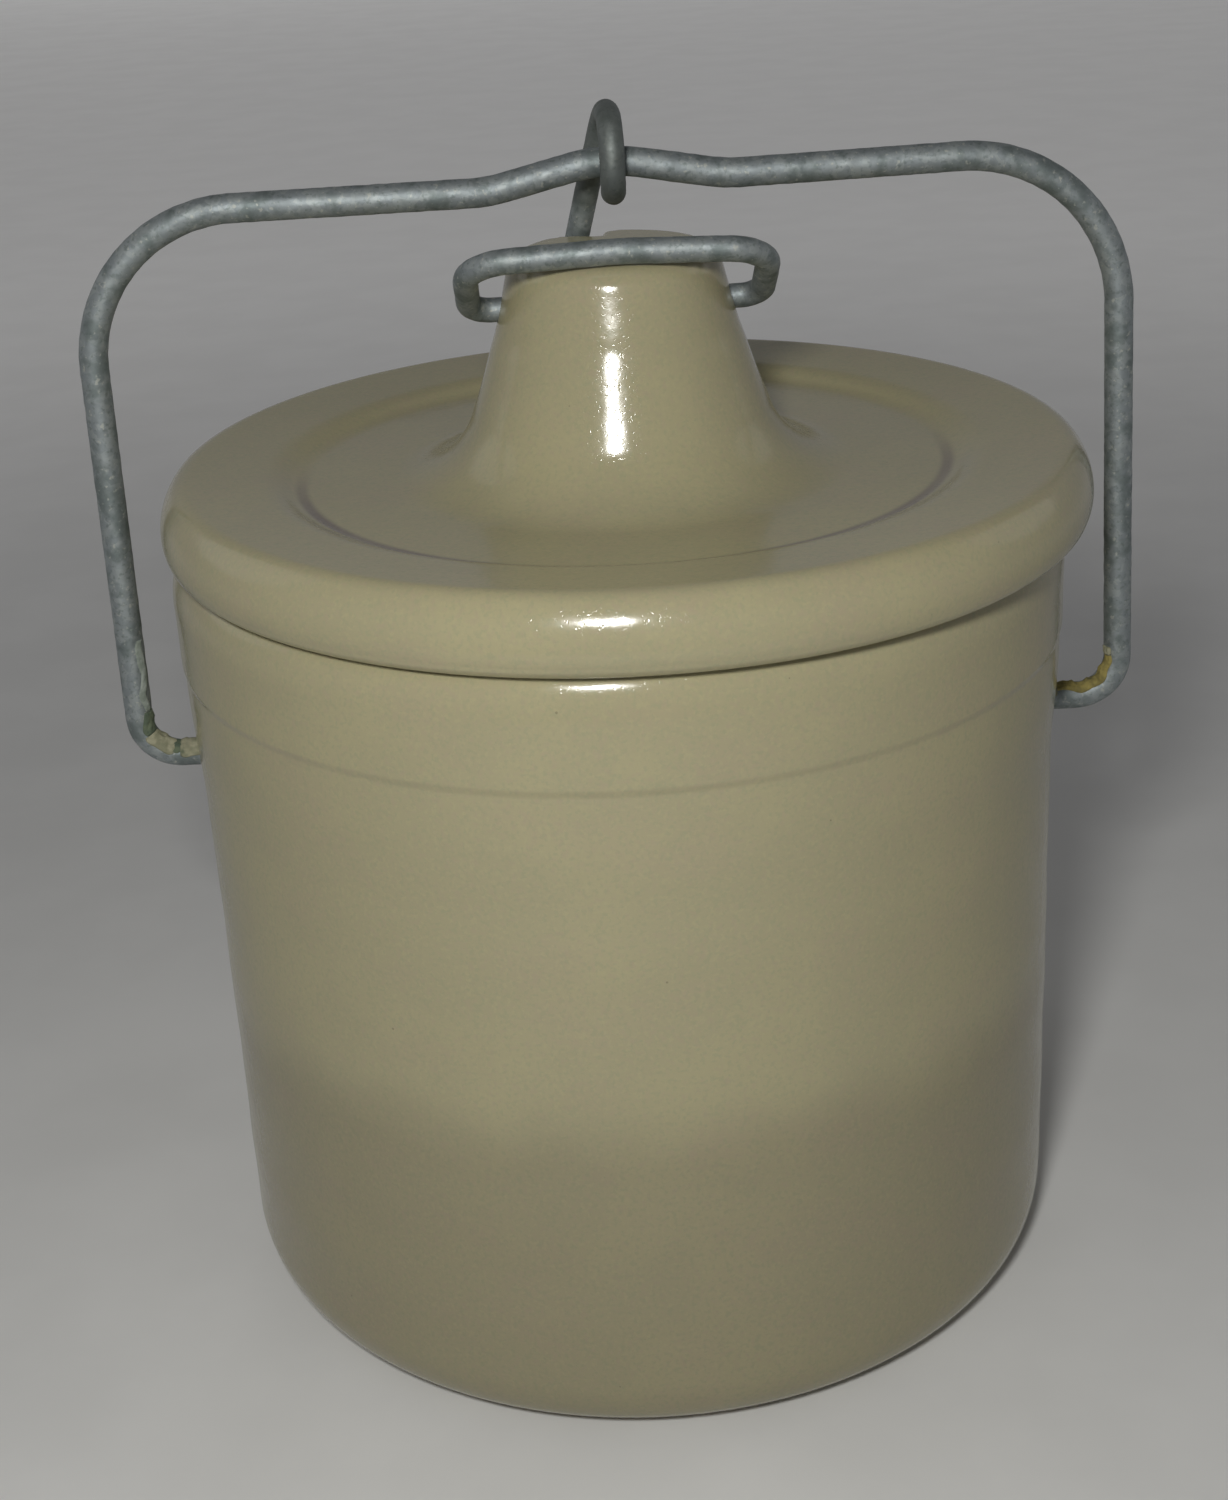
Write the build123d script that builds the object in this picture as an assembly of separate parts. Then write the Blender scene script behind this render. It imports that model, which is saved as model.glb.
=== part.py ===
from build123d import *
import os
from math import acos, cos, degrees, radians, sin, tan

# Butter crock: a glazed stoneware pot, a dished lid with a flared knob, the
# rubber ring that seals them, a wire bail that swings on two holes in the pot,
# and a wire latch that clamps the lid by levering against the bail.
#
# Frame: the origin is the centre of the foot, +Z is up, the bail's ends and
# the latch's pin lie along X, and the latch is worked from the front, at -Y.
# Profiles are drawn in the XZ plane as (radius, height).

# ---- Driving dimensions, mm ------------------------------------------------

# Pot
POT_RADIUS = 52.3
SHOULDER_RADIUS = 52.9
COLLAR_RADIUS = 53.2
BORE_RADIUS = 45.0
FLOOR_TOP = 8.0
FLOOR_FILLET = 8.0
FOOT_INNER_RADIUS = 40.0
FOOT_OUTER_RADIUS = 46.5
FOOT_RECESS = 1.5
DRY_FOOT_HEIGHT = 0.9
HEEL_HEIGHT = 8.0
HEEL_REACH = 5.0
SHOULDER_BOTTOM = 66.0
COLLAR_BOTTOM = 83.0
COLLAR_BLEND = 1.3
RIM_TOP = 96.2
RIM_ROUND_REACH = 2.0
RIM_ROUND_DROP = 5.0
RIM_FILLET = 1.6

# Bail and the two blind holes that it swings in
BAIL_WIRE = 3.4
BAIL_PIVOT_HEIGHT = 68.9
BAIL_HOLE_DEPTH = 5.3
BAIL_HOLE_CLEARANCE = 0.3
BAIL_END_GAP = 0.8
BAIL_LEFT_REACH = 60.2
BAIL_LEFT_LEAN = 1.0
BAIL_LEFT_SHOULDER = 66.2
BAIL_LEFT_BEND = 18.0
BAIL_RIGHT_REACH = 61.9
BAIL_RIGHT_LEAN = 2.4
BAIL_RIGHT_SHOULDER = 67.5
BAIL_RIGHT_BEND = 18.5
BAIL_FOOT_BEND = 5.0
HUMP_X = 0.85
HUMP_HALF_WIDTH = 13.5
HUMP_HEIGHT = 68.9
HUMP_BEND = 20.0
HUMP_CORNER_RISE = 0.5

# Lid, which with its ring and latch sits off the pot's centre by its play in the bore
LID_OFFSET = 1.3
LID_RADIUS = 55.0
LID_WIDEST_HEIGHT = 99.6
LID_UNDERSIDE = 96.5
LID_LOWER_RADIUS = 53.2
LID_SIDE_ROUND = 7.15
LID_EDGE_TURN = 40.0
LID_EDGE_ROUND = 2.5
BRIM_RISE = 5.0
DISH_RADIUS = 37.6
DISH_HEIGHT = 102.7
PLUG_RADIUS = 43.2
PLUG_INNER_RADIUS = 38.5
PLUG_DEPTH = 3.2
PLUG_DRAFT = 2.5
PLUG_FILLET = 1.0
UNDERSIDE_EDGE = 97.0
UNDERSIDE_DOME = 98.6
HOLLOW_RADIUS = 5.0
DISH_CLIMB = 32.0

# Knob on the lid
KNOB_TOP = 128.3
KNOB_FLAT_RADIUS = 9.65
KNOB_RIM_FILLET = 3.0
FLANK_LEAN = 17.0
FLARE_RADIUS = 10.5

# Sealing ring
SEAL_OUTER_RADIUS = 49.6
SEAL_TOP = 98.0
SEAL_PROUD = 0.15
SEAL_FILLET = 0.4
SEAT_CLEARANCE = 0.2

# Latch
LATCH_WIRE = 2.9
PIN_Y = 0.5
PIN_HEIGHT = 121.7
PIN_CLEARANCE = 0.2
RING_HALF_WIDTH = 17.0
BAR_Y = -10.9
BAR_HEIGHT = 129.3
BAR_BOW = 0.6
EYE_RADIUS = 4.27
EYE_SAG = 1.0
EYE_X = 0.2
EYE_BEND = 4.02
RING_BEND = 5.0
RING_FOOT_BEND = 2.8
BAR_BEND = 60.0
SHANK_X = -5.6
SHANK_BACK = 10.7
SHANK_RISE = 2.5
SHANK_FOOT_BEND = 2.6
SHANK_BEND = 3.5
RING_END_X = -9.0

# Slot in the knob for the latch's shank
SLOT_LEFT = -7.9
SLOT_RIGHT = -0.8
SLOT_FLOOR = 113.6
SLOT_BACK = 22.0

HUMP_Z = BAIL_PIVOT_HEIGHT + HUMP_HEIGHT
EYE_Z = HUMP_Z + EYE_SAG
BAIL_HOLE_RADIUS = BAIL_WIRE / 2 + BAIL_HOLE_CLEARANCE
PIN_HOLE_RADIUS = LATCH_WIRE / 2 + PIN_CLEARANCE


def revolved(edges):
    """Solid of revolution about Z from a closed chain of edges in the XZ plane.

    Its seam is turned to 45 degrees, away from the holes along X.
    """
    return revolve(make_face(Wire(edges)), Axis.Z).rotate(Axis.Z, 45)


def chain(*points):
    """Straight edges through (radius, height) points in the XZ plane."""
    placed = [Vector(r, 0, z) for r, z in points]
    return [Edge.make_line(a, b) for a, b in zip(placed, placed[1:])]


def arc(start, middle, end):
    """Arc through three (radius, height) points in the XZ plane."""
    return Edge.make_three_point_arc(*[Vector(r, 0, z) for r, z in (start, middle, end)])


def turn(centre, radius, first_deg, last_deg):
    """Arc about a (radius, height) centre, its angles measured from outward."""
    def at(angle):
        return (
            centre[0] + radius * cos(radians(angle)),
            centre[1] + radius * sin(radians(angle)),
        )
    return arc(at(first_deg), at((first_deg + last_deg) / 2), at(last_deg))


def quarter_ellipse(centre, radius_reach, height_reach, start_deg):
    """Quarter of an ellipse about a (radius, height) centre, turning upwards from outward."""
    flat = EllipticalCenterArc(centre, radius_reach, height_reach, start_angle=start_deg, arc_size=90)
    return flat.rotate(Axis.X, 90)


def swell(start, end):
    """Smooth change of radius between two (radius, height) points, upright at both."""
    placed = [Vector(r, 0, z) for r, z in (start, end)]
    return Edge.make_spline(placed, tangents=[Vector(0, 0, 1), Vector(0, 0, 1)])


def ends(edge):
    """The (radius, height) of an edge's two ends."""
    return tuple((p.X, p.Z) for p in (edge @ 0, edge @ 1))


def tube(points, radii, diameter):
    """Round wire along straight runs joined by arcs of the given radii."""
    path = FilletPolyline(*points, radius=radii)
    section = Plane(origin=path @ 0, z_dir=path % 0) * Circle(diameter / 2)
    return sweep(section, path=path)


def make_pot():
    heel_rise = HEEL_HEIGHT - DRY_FOOT_HEIGHT
    dry_foot_radius = POT_RADIUS - HEEL_REACH
    heel = quarter_ellipse((dry_foot_radius, HEEL_HEIGHT), HEEL_REACH, heel_rise, 270)
    shoulder = swell((POT_RADIUS, SHOULDER_BOTTOM), (SHOULDER_RADIUS, COLLAR_BOTTOM))
    collar_blend = swell((SHOULDER_RADIUS, COLLAR_BOTTOM), (COLLAR_RADIUS, COLLAR_BOTTOM + COLLAR_BLEND))
    rim_centre = (COLLAR_RADIUS - RIM_ROUND_REACH, RIM_TOP - RIM_ROUND_DROP)
    rim_outer = quarter_ellipse(rim_centre, RIM_ROUND_REACH, RIM_ROUND_DROP, 0)
    rim_inner = turn((BORE_RADIUS + RIM_FILLET, RIM_TOP - RIM_FILLET), RIM_FILLET, 90, 180)
    floor_corner = turn((BORE_RADIUS - FLOOR_FILLET, FLOOR_TOP + FLOOR_FILLET), FLOOR_FILLET, 0, -90)

    outline = chain(
        (0, FLOOR_TOP),
        (0, FOOT_RECESS),
        (FOOT_INNER_RADIUS - FOOT_RECESS, FOOT_RECESS),
        (FOOT_INNER_RADIUS, 0),
        (FOOT_OUTER_RADIUS, 0),
        (dry_foot_radius, DRY_FOOT_HEIGHT),
    )
    outline += [heel]
    outline += chain((POT_RADIUS, HEEL_HEIGHT), (POT_RADIUS, SHOULDER_BOTTOM))
    outline += [shoulder, collar_blend]
    outline += chain((COLLAR_RADIUS, COLLAR_BOTTOM + COLLAR_BLEND), ends(rim_outer)[0])
    outline += [rim_outer]
    outline += chain(ends(rim_outer)[1], ends(rim_inner)[0])
    outline += [rim_inner]
    outline += chain(ends(rim_inner)[1], ends(floor_corner)[0])
    outline += [floor_corner]
    outline += chain(ends(floor_corner)[1], (0, FLOOR_TOP))
    pot = revolved(outline)

    for side in (-1, 1):
        hole_floor = side * (POT_RADIUS - BAIL_HOLE_DEPTH)
        hole = Plane((hole_floor, 0, BAIL_PIVOT_HEIGHT), z_dir=(side, 0, 0)) * extrude(
            Circle(BAIL_HOLE_RADIUS), 2 * BAIL_HOLE_DEPTH
        )
        pot -= hole
    return pot


def lid_outline():
    """Closed outline of the lid and knob, from the knob's top round to the underside."""
    rim = turn((KNOB_FLAT_RADIUS, KNOB_TOP - KNOB_RIM_FILLET), KNOB_RIM_FILLET, 90, FLANK_LEAN)
    flank_top = ends(rim)[1]

    # The flare turns from the flank's lean to level, and meets the dish there.
    flare_drop = FLARE_RADIUS * (1 - sin(radians(FLANK_LEAN)))
    flare_top_height = DISH_HEIGHT + flare_drop
    flank_fall = flank_top[1] - flare_top_height
    flare_top_radius = flank_top[0] + flank_fall * tan(radians(FLANK_LEAN))
    flare_centre = (
        flare_top_radius + FLARE_RADIUS * cos(radians(FLANK_LEAN)),
        DISH_HEIGHT + FLARE_RADIUS,
    )
    flare = turn(flare_centre, FLARE_RADIUS, 180 + FLANK_LEAN, 270)

    # The side curves up and in, and turns over a tighter edge on to the brim.
    side = turn((LID_RADIUS - LID_SIDE_ROUND, LID_WIDEST_HEIGHT), LID_SIDE_ROUND, LID_EDGE_TURN, 0)
    side_top = ends(side)[0]
    edge_centre = (
        side_top[0] - LID_EDGE_ROUND * cos(radians(LID_EDGE_TURN)),
        side_top[1] - LID_EDGE_ROUND * sin(radians(LID_EDGE_TURN)),
    )
    edge = turn(edge_centre, LID_EDGE_ROUND, 90 + BRIM_RISE, LID_EDGE_TURN)
    brim_end = ends(edge)[0]

    # The dish floor climbs through a hollow and a round that runs level with the brim.
    hollow = turn((DISH_RADIUS, DISH_HEIGHT + HOLLOW_RADIUS), HOLLOW_RADIUS, 270, 270 + DISH_CLIMB)
    climb_radius, climb_height = ends(hollow)[1]
    climb, rise = radians(DISH_CLIMB), radians(BRIM_RISE)
    still_to_climb = brim_end[1] - climb_height - (brim_end[0] - climb_radius) * tan(rise)
    brim_round = still_to_climb / (cos(rise) - cos(climb) - (sin(climb) - sin(rise)) * tan(rise))
    brim_centre = (climb_radius + brim_round * sin(climb), climb_height - brim_round * cos(climb))
    brim_start = turn(brim_centre, brim_round, 90 + DISH_CLIMB, 90 + BRIM_RISE)
    lower_side = Edge.make_spline(
        [Vector(LID_RADIUS, 0, LID_WIDEST_HEIGHT), Vector(LID_LOWER_RADIUS, 0, LID_UNDERSIDE)],
        tangents=[Vector(0, 0, -1), Vector(-1, 0, -0.35)],
    )

    plug_bottom = LID_UNDERSIDE - PLUG_DEPTH
    plug_outer = turn((PLUG_RADIUS - PLUG_FILLET, plug_bottom + PLUG_FILLET), PLUG_FILLET, 0, -90)
    seat_radius = SEAL_OUTER_RADIUS + SEAT_CLEARANCE

    edges = chain((0, KNOB_TOP), ends(rim)[0])
    edges += [rim]
    edges += chain(flank_top, ends(flare)[0])
    edges += [flare]
    edges += chain(ends(flare)[1], ends(hollow)[0])
    edges += [hollow, brim_start]
    edges += chain(ends(brim_start)[1], brim_end)
    edges += [edge, side, lower_side]
    edges += chain(
        (LID_LOWER_RADIUS, LID_UNDERSIDE),
        (seat_radius, LID_UNDERSIDE),
        (seat_radius, SEAL_TOP),
        (PLUG_RADIUS, SEAL_TOP),
        ends(plug_outer)[0],
    )
    edges += [plug_outer]
    # The underside domes up inside the plug, on a sphere centred on the axis.
    dome_edge = (PLUG_INNER_RADIUS - PLUG_DRAFT, UNDERSIDE_EDGE)
    dome_rise = UNDERSIDE_DOME - dome_edge[1]
    dome_radius = (dome_edge[0] ** 2 + dome_rise**2) / (2 * dome_rise)
    dome_angle = degrees(acos(dome_edge[0] / dome_radius))
    edges += chain(ends(plug_outer)[1], (PLUG_INNER_RADIUS, plug_bottom), dome_edge)
    edges += [turn((0, UNDERSIDE_DOME - dome_radius), dome_radius, dome_angle, 90)]
    edges += chain((0, UNDERSIDE_DOME), (0, KNOB_TOP))
    return edges


def make_lid():
    lid = revolved(lid_outline())

    past_knob = 2 * FLARE_RADIUS
    pin_hole = Plane((-past_knob, PIN_Y, PIN_HEIGHT), z_dir=(1, 0, 0)) * extrude(
        Circle(PIN_HOLE_RADIUS), 2 * past_knob
    )

    # The shank's slot runs back from the pin under the knob's top, and opens at
    # the top just ahead of the shank. Its floor leaves room for the shank's swing.
    front = PIN_Y - 1.5
    above = KNOB_TOP + 1.4
    corners = [
        (front, PIN_HEIGHT - 1.6),
        (front, PIN_HEIGHT + 1.9),
        (PIN_Y + 7.5, PIN_HEIGHT + 4.2),
        (PIN_Y + 6.7, above),
        (SLOT_BACK, above),
        (SLOT_BACK, SLOT_FLOOR),
        (PIN_Y + 7.5, SLOT_FLOOR),
        (PIN_Y - 0.8, PIN_HEIGHT - 1.9),
    ]
    slot_outline = Polyline(*[(SLOT_LEFT, y, z) for y, z in corners], close=True)
    slot = extrude(make_face(slot_outline), SLOT_RIGHT - SLOT_LEFT, dir=(1, 0, 0))
    return lid - pin_hole - slot


def make_sealing_ring():
    bottom = RIM_TOP + SEAL_PROUD
    section = Plane.XZ * Pos((PLUG_RADIUS + SEAL_OUTER_RADIUS) / 2, (bottom + SEAL_TOP) / 2) * (
        RectangleRounded(SEAL_OUTER_RADIUS - PLUG_RADIUS, SEAL_TOP - bottom, SEAL_FILLET)
    )
    return revolve(section, Axis.Z)


def make_bail():
    end = POT_RADIUS - BAIL_HOLE_DEPTH + BAIL_END_GAP
    left_top = BAIL_PIVOT_HEIGHT + BAIL_LEFT_SHOULDER
    right_top = BAIL_PIVOT_HEIGHT + BAIL_RIGHT_SHOULDER
    points = [
        (-end, 0, BAIL_PIVOT_HEIGHT),
        (-BAIL_LEFT_REACH, 0, BAIL_PIVOT_HEIGHT),
        (-BAIL_LEFT_REACH + BAIL_LEFT_LEAN, 0, left_top),
        (HUMP_X - HUMP_HALF_WIDTH, 0, left_top + 0.1),
        (HUMP_X, 0, HUMP_Z + HUMP_CORNER_RISE),
        (HUMP_X + HUMP_HALF_WIDTH, 0, right_top - 0.6),
        (BAIL_RIGHT_REACH - BAIL_RIGHT_LEAN, 0, right_top),
        (BAIL_RIGHT_REACH, 0, BAIL_PIVOT_HEIGHT),
        (end, 0, BAIL_PIVOT_HEIGHT),
    ]
    top_bends = [BAIL_LEFT_BEND, HUMP_BEND, HUMP_BEND, HUMP_BEND, BAIL_RIGHT_BEND]
    return tube(points, [BAIL_FOOT_BEND, *top_bends, BAIL_FOOT_BEND], BAIL_WIRE)


def make_latch():
    eye_top = EYE_Z + EYE_RADIUS
    eye_bottom = EYE_Z - EYE_RADIUS
    # The pin lies in two halves along one line, either side of the shank's foot.
    ring = [
        (RING_END_X, PIN_Y, PIN_HEIGHT),
        (-RING_HALF_WIDTH, PIN_Y, PIN_HEIGHT),
        (-RING_HALF_WIDTH, BAR_Y, BAR_HEIGHT),
        (0, BAR_Y, BAR_HEIGHT + BAR_BOW),
        (RING_HALF_WIDTH, BAR_Y, BAR_HEIGHT),
        (RING_HALF_WIDTH, PIN_Y, PIN_HEIGHT),
    ]
    shank = [
        (SHANK_X, PIN_Y, PIN_HEIGHT),
        (SHANK_X + 0.9, PIN_Y + SHANK_BACK, PIN_HEIGHT + SHANK_RISE),
    ]
    eye = [
        (EYE_X - 0.3, EYE_RADIUS, eye_top),
        (EYE_X, -EYE_RADIUS, eye_top),
        (EYE_X, -EYE_RADIUS, eye_bottom),
        (EYE_X + 0.2, EYE_RADIUS - 2.5, eye_bottom),
    ]
    ring_bends = [RING_FOOT_BEND, RING_BEND, BAR_BEND, RING_BEND, RING_FOOT_BEND]
    bends = ring_bends + [SHANK_FOOT_BEND, SHANK_BEND] + [EYE_BEND] * 3
    return tube(ring + shank + eye, bends, LATCH_WIRE)


def write(node, shape):
    export_step(shape, f"parts/{node}.step")


os.makedirs("parts", exist_ok=True)
write("crock", make_pot())
write("lid", Pos(LID_OFFSET, 0, 0) * make_lid())
write("sealing_ring", Pos(LID_OFFSET, 0, 0) * make_sealing_ring())
write("bail", make_bail())
write("latch", Pos(LID_OFFSET, 0, 0) * make_latch())
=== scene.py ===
from math import acos, ceil, cos, degrees, exp, pi, radians, sin, sqrt, tan

import bmesh
import bpy
from mathutils import Matrix, Quaternion, Vector, kdtree, noise


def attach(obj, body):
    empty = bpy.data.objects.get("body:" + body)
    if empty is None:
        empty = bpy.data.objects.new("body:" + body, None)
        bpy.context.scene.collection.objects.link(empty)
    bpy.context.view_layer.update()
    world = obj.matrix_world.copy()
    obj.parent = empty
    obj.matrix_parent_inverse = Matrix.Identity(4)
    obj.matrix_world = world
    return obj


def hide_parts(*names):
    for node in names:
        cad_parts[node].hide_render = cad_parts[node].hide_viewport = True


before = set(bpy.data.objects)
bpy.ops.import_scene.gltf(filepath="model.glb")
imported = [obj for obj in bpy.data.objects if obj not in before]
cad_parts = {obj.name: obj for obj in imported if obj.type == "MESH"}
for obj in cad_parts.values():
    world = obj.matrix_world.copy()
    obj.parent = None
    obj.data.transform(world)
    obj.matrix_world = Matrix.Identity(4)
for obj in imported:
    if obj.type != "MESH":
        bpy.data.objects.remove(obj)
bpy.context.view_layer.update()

# Butter crock: a glazed stoneware pot and lid, their rubber ring, and two
# galvanised wires: the bail, and the latch that clamps the lid.
#
# Shapes are drawn in millimetres, in the CAD frame: the origin is the centre
# of the foot, +Z is up and the wires' pivots lie along X. Meshes are in metres.

MM = 0.001

# ---- Pot, mm ----------------------------------------------------------------

POT_RADIUS = 52.3
SHOULDER_RADIUS = 52.9
COLLAR_RADIUS = 53.2
BORE_RADIUS = 45.0
FLOOR_TOP = 8.0
FLOOR_FILLET = 8.0
FOOT_INNER_RADIUS = 40.0
FOOT_OUTER_RADIUS = 46.5
FOOT_RECESS = 1.5
DRY_FOOT_HEIGHT = 0.9
HEEL_HEIGHT = 8.0
HEEL_REACH = 5.0
SHOULDER_BOTTOM = 66.0
COLLAR_BOTTOM = 83.0
COLLAR_BLEND = 1.3
RIM_TOP = 96.2
RIM_ROUND_REACH = 2.0
RIM_ROUND_DROP = 5.0
RIM_FILLET = 1.6
BAIL_PIVOT_HEIGHT = 68.9
BAIL_HOLE_RADIUS = 2.0
BAIL_HOLE_DEPTH = 5.3

# ---- Lid, mm ----------------------------------------------------------------

# The lid, its ring and the latch sit off the pot's centre by the lid's play.
LID_OFFSET = 1.3
LID_RADIUS = 55.0
LID_WIDEST_HEIGHT = 99.6
LID_UNDERSIDE = 96.5
LID_LOWER_RADIUS = 53.2
LID_SIDE_ROUND = 7.15
LID_EDGE_TURN = 40.0
LID_EDGE_ROUND = 2.5
BRIM_RISE = 5.0
DISH_RADIUS = 37.6
DISH_HEIGHT = 102.7
HOLLOW_RADIUS = 5.0
DISH_CLIMB = 32.0
PLUG_RADIUS = 43.2
PLUG_INNER_RADIUS = 38.5
PLUG_DEPTH = 3.2
PLUG_DRAFT = 2.5
PLUG_FILLET = 1.0
UNDERSIDE_EDGE = 97.0
UNDERSIDE_DOME = 98.6
SEAT_RADIUS = 49.8
SEAT_HEIGHT = 98.0
KNOB_TOP = 128.3
KNOB_FLAT_RADIUS = 9.65
KNOB_RIM_FILLET = 3.0
FLANK_LEAN = 17.0
FLARE_RADIUS = 10.5
PIN_HOLE_RADIUS = 1.65
SLOT_LEFT = -7.9
SLOT_RIGHT = -0.8
SLOT_FLOOR = 113.6
SLOT_BACK = 22.0

# ---- Wires, mm --------------------------------------------------------------

BAIL_WIRE = 3.4
BAIL_END = 47.8
BAIL_LEFT_REACH = 60.2
BAIL_LEFT_LEAN = 1.0
BAIL_LEFT_TOP = 135.1
BAIL_LEFT_BEND = 18.0
BAIL_RIGHT_REACH = 61.9
BAIL_RIGHT_LEAN = 2.4
BAIL_RIGHT_TOP = 136.4
BAIL_RIGHT_BEND = 18.5
BAIL_FOOT_BEND = 5.0
HUMP_X = 0.85
HUMP_HALF_WIDTH = 13.5
HUMP_Z = 137.8
HUMP_BEND = 20.0
HUMP_CORNER_RISE = 0.5
LATCH_WIRE = 2.9
PIN_Y = 0.5
PIN_HEIGHT = 121.7
RING_HALF_WIDTH = 17.0
BAR_Y = -10.9
BAR_HEIGHT = 129.3
BAR_BOW = 0.6
BAR_BEND = 60.0
RING_BEND = 5.0
RING_FOOT_BEND = 2.8
RING_END_X = -9.0
SHANK_X = -5.6
SHANK_BACK = 10.7
SHANK_RISE = 2.5
SHANK_FOOT_BEND = 2.6
SHANK_BEND = 3.5
EYE_X = 0.2
EYE_RADIUS = 4.27
EYE_BEND = 4.02
EYE_Z = HUMP_Z + 1.0

# ---- Handmade surface, mm ---------------------------------------------------

# The knob's flank draws in a little between two heights, and has one faint ring.
KNOB_WAIST = 0.30
KNOB_WAIST_BOTTOM = 110.0
KNOB_WAIST_TOP = 126.0
KNOB_RING_HEIGHT = 119.3
KNOB_RING_DEPTH = 0.09
KNOB_RING_SPREAD = 1.3

# The cuts' edges are rounded over by the glaze, most of all at the slot's top.
EDGE_REACH = 0.7
SLOT_TOP_REACH = 2.4
SLOT_TOP_ROUNDS = 70

# The pot was dipped twice. Its second coat stops a little above this height, and
# below it the tone is multiplied by THIN_COAT. A dark line painted in the lid's dish,
# at the radius below, is painted shade and reflection.
SECOND_COAT_BOTTOM = 39.5
THIN_COAT = (0.80, 0.79, 0.80)
CREASE_SHADE_RADIUS = 38.2

# ---- Camera and light -------------------------------------------------------

CAMERA_PLACE = Vector((-8.62, -259.9, 179.4)) * MM
CAMERA_PAN = 1.52
CAMERA_PITCH = 23.68
CAMERA_ROLL = -3.10
CAMERA_LENS = 54.16

# The key stands just left of the camera and above it, as in the photograph.
KEY_OFFSET = Vector((-28, 0, 48)) * MM
KEY_SIZE = 40 * MM
KEY_POWER = 0.55
LEFT_FILL_POWER = 0.20
RIGHT_FILL_POWER = 0.11
BACK_FILL_POWER = 22.0
WALL_STRENGTH = 0.25
CEILING_STRENGTH = 0.08
BACKDROP_GLOW = 0.15


# ---- Outlines: lists of (radius, height) ------------------------------------

def line(start, end, step=0.9):
    """Points from start up to, but not including, end."""
    count = max(1, ceil(sqrt((end[0] - start[0]) ** 2 + (end[1] - start[1]) ** 2) / step))
    return [
        (start[0] + (end[0] - start[0]) * i / count, start[1] + (end[1] - start[1]) * i / count)
        for i in range(count)
    ]


def ellipse(centre, reach, rise, first, last, step=0.5):
    """Points on part of an ellipse, its angles measured from outward."""
    count = max(4, ceil(abs(radians(last - first)) * max(reach, rise) / step))
    angles = [radians(first + (last - first) * i / count) for i in range(count + 1)]
    return [(centre[0] + reach * cos(a), centre[1] + rise * sin(a)) for a in angles]


def arc(centre, radius, first, last, step=0.5):
    return ellipse(centre, radius, radius, first, last, step)


def eased(t):
    t = min(max(t, 0.0), 1.0)
    return t * t * (3 - 2 * t)


def swell(start, end, step=0.6):
    """A smooth change of radius between two heights, upright at both."""
    count = ceil((end[1] - start[1]) / step)
    return [
        (start[0] + (end[0] - start[0]) * eased(i / count), start[1] + (end[1] - start[1]) * i / count)
        for i in range(count)
    ]


def pot_outline():
    """The pot's outline, from the middle of its base round to the middle of its floor."""
    dry_foot = (POT_RADIUS - HEEL_REACH, DRY_FOOT_HEIGHT)
    rim_centre = (COLLAR_RADIUS - RIM_ROUND_REACH, RIM_TOP - RIM_ROUND_DROP)
    inner_centre = (BORE_RADIUS + RIM_FILLET, RIM_TOP - RIM_FILLET)
    floor_centre = (BORE_RADIUS - FLOOR_FILLET, FLOOR_TOP + FLOOR_FILLET)
    collar_top = (COLLAR_RADIUS, COLLAR_BOTTOM + COLLAR_BLEND)

    points = line((0, FOOT_RECESS), (FOOT_INNER_RADIUS - FOOT_RECESS, FOOT_RECESS), 4)
    points += line((FOOT_INNER_RADIUS - FOOT_RECESS, FOOT_RECESS), (FOOT_INNER_RADIUS, 0), 0.5)
    points += line((FOOT_INNER_RADIUS, 0), (FOOT_OUTER_RADIUS, 0))
    points += line((FOOT_OUTER_RADIUS, 0), dry_foot, 0.3)
    points += ellipse((dry_foot[0], HEEL_HEIGHT), HEEL_REACH, HEEL_HEIGHT - DRY_FOOT_HEIGHT, -90, 0)
    points += line((POT_RADIUS, HEEL_HEIGHT), (POT_RADIUS, SHOULDER_BOTTOM))[1:]
    points += swell((POT_RADIUS, SHOULDER_BOTTOM), (SHOULDER_RADIUS, COLLAR_BOTTOM))
    points += swell((SHOULDER_RADIUS, COLLAR_BOTTOM), collar_top, 0.15)
    points += line(collar_top, (COLLAR_RADIUS, rim_centre[1]))
    points += ellipse(rim_centre, RIM_ROUND_REACH, RIM_ROUND_DROP, 0, 90, 0.3)
    points += arc(inner_centre, RIM_FILLET, 90, 180, 0.3)
    points += line((BORE_RADIUS, inner_centre[1]), (BORE_RADIUS, floor_centre[1]), 3)[1:]
    points += arc(floor_centre, FLOOR_FILLET, 0, -90, 1.2)
    points += line((floor_centre[0], FLOOR_TOP), (0, FLOOR_TOP), 4)[1:]
    return points + [(0, FLOOR_TOP)]


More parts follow.
